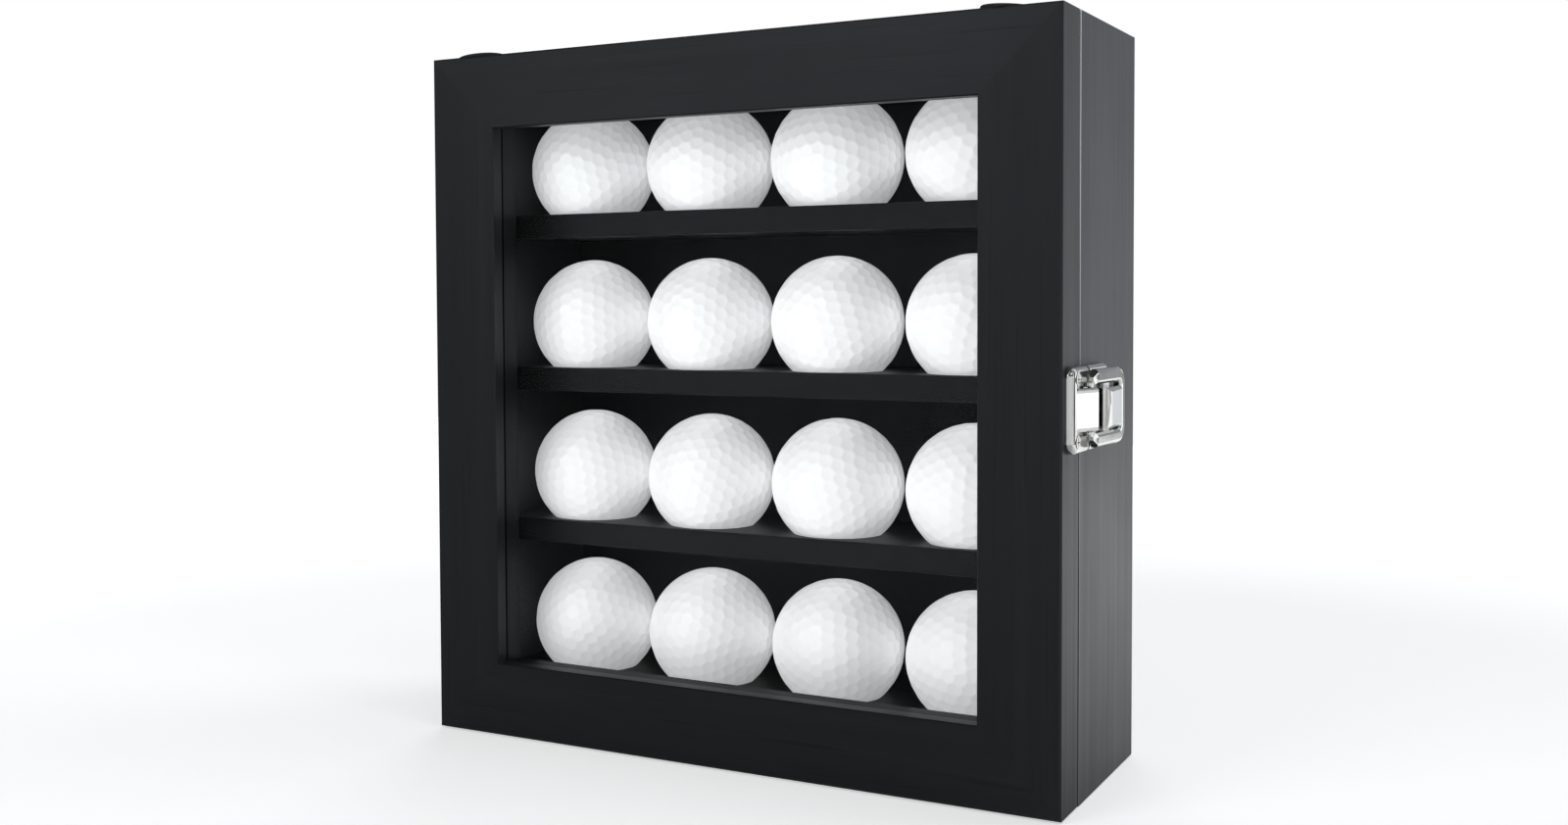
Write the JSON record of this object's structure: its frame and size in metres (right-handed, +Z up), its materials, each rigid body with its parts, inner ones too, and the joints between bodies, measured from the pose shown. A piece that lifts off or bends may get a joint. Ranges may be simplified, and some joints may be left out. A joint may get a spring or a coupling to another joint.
{
  "type": "display_case",
  "caption": "Dark wooden wall display case for golf balls, with drilled shelves, a glazed door hinged on the left and a metal ring latch on the right",
  "frame": {"origin": "centre of the closed case's bottom face, door included", "axes": "+X to the case's right as seen from the front, +Y from the door to the back panel, +Z up"},
  "size_m": [0.2275, 0.0834, 0.2298],
  "materials": {
    "dark_wood": "satin",
    "nickel": "satin",
    "dark_metal": "matte",
    "glass": "gloss",
    "soft_pad": "matte",
    "ball_white": "gloss"
  },
  "bodies": {
    "case": {"side_panel_left": "dark_wood", "side_panel_right": "dark_wood", "top_panel": "dark_wood", "bottom_panel": "dark_wood", "back_panel": "dark_wood", "floor_board": "dark_wood", "shelf_lower": "dark_wood", "shelf_middle": "dark_wood", "shelf_upper": "dark_wood", "hinge_case_leaves": "nickel", "hinge_case_screws": "nickel", "latch_keeper": "nickel", "latch_keeper_screws": "nickel", "sawtooth_hanger": "nickel", "hanger_nails": "dark_metal", "pads_case_back": "soft_pad"},
    "door": {"door_stile_left": "dark_wood", "door_stile_right": "dark_wood", "door_rail_top": "dark_wood", "door_rail_bottom": "dark_wood", "glass_pane": "glass", "bead_left": "dark_wood", "bead_right": "dark_wood", "bead_top": "dark_wood", "bead_bottom": "dark_wood", "hinge_door_leaves": "nickel", "hinge_pins": "nickel", "hinge_door_screws": "nickel", "latch_base": "nickel", "latch_base_screws": "nickel", "pads_door_top": "soft_pad"},
    "latch_ring_body": {"latch_ring": "nickel"},
    "ball_a1_body": {"ball_a1": "ball_white"},
    "ball_a2_body": {"ball_a2": "ball_white"},
    "ball_a3_body": {"ball_a3": "ball_white"},
    "ball_a4_body": {"ball_a4": "ball_white"},
    "ball_b1_body": {"ball_b1": "ball_white"},
    "ball_b2_body": {"ball_b2": "ball_white"},
    "ball_b3_body": {"ball_b3": "ball_white"},
    "ball_b4_body": {"ball_b4": "ball_white"},
    "ball_c1_body": {"ball_c1": "ball_white"},
    "ball_c2_body": {"ball_c2": "ball_white"},
    "ball_c3_body": {"ball_c3": "ball_white"},
    "ball_c4_body": {"ball_c4": "ball_white"},
    "ball_d1_body": {"ball_d1": "ball_white"},
    "ball_d2_body": {"ball_d2": "ball_white"},
    "ball_d3_body": {"ball_d3": "ball_white"},
    "ball_d4_body": {"ball_d4": "ball_white"}
  },
  "joints": [
    {"name": "door_hinge", "type": "hinge", "parent": "case", "child": "door", "pos_m": [-0.1094, -0.0225, 0.114], "axis": [0, 0, -1], "range_deg": [0, 180]},
    {"name": "latch_ring_flip", "type": "hinge", "parent": "door", "child": "latch_ring_body", "pos_m": [0.1116, -0.0267, 0.1151], "axis": [0, 0, -1], "range_deg": [0, 150]},
    {"name": "ball_a1_lift", "type": "slide", "parent": "case", "child": "ball_a1_body", "axis": [0, 0, 1], "range_m": [0, 0.0055]},
    {"name": "ball_a2_lift", "type": "slide", "parent": "case", "child": "ball_a2_body", "axis": [0, 0, 1], "range_m": [0, 0.0055]},
    {"name": "ball_a3_lift", "type": "slide", "parent": "case", "child": "ball_a3_body", "axis": [0, 0, 1], "range_m": [0, 0.0055]},
    {"name": "ball_a4_lift", "type": "slide", "parent": "case", "child": "ball_a4_body", "axis": [0, 0, 1], "range_m": [0, 0.0055]},
    {"name": "ball_b1_lift", "type": "slide", "parent": "case", "child": "ball_b1_body", "axis": [0, 0, 1], "range_m": [0, 0.0055]},
    {"name": "ball_b2_lift", "type": "slide", "parent": "case", "child": "ball_b2_body", "axis": [0, 0, 1], "range_m": [0, 0.0055]},
    {"name": "ball_b3_lift", "type": "slide", "parent": "case", "child": "ball_b3_body", "axis": [0, 0, 1], "range_m": [0, 0.0055]},
    {"name": "ball_b4_lift", "type": "slide", "parent": "case", "child": "ball_b4_body", "axis": [0, 0, 1], "range_m": [0, 0.0055]},
    {"name": "ball_c1_lift", "type": "slide", "parent": "case", "child": "ball_c1_body", "axis": [0, 0, 1], "range_m": [0, 0.0055]},
    {"name": "ball_c2_lift", "type": "slide", "parent": "case", "child": "ball_c2_body", "axis": [0, 0, 1], "range_m": [0, 0.0055]},
    {"name": "ball_c3_lift", "type": "slide", "parent": "case", "child": "ball_c3_body", "axis": [0, 0, 1], "range_m": [0, 0.0055]},
    {"name": "ball_c4_lift", "type": "slide", "parent": "case", "child": "ball_c4_body", "axis": [0, 0, 1], "range_m": [0, 0.0055]},
    {"name": "ball_d1_lift", "type": "slide", "parent": "case", "child": "ball_d1_body", "axis": [0, 0, 1], "range_m": [0, 0.0055]},
    {"name": "ball_d2_lift", "type": "slide", "parent": "case", "child": "ball_d2_body", "axis": [0, 0, 1], "range_m": [0, 0.0055]},
    {"name": "ball_d3_lift", "type": "slide", "parent": "case", "child": "ball_d3_body", "axis": [0, 0, 1], "range_m": [0, 0.0055]},
    {"name": "ball_d4_lift", "type": "slide", "parent": "case", "child": "ball_d4_body", "axis": [0, 0, 1], "range_m": [0, 0.0055]}
  ]
}
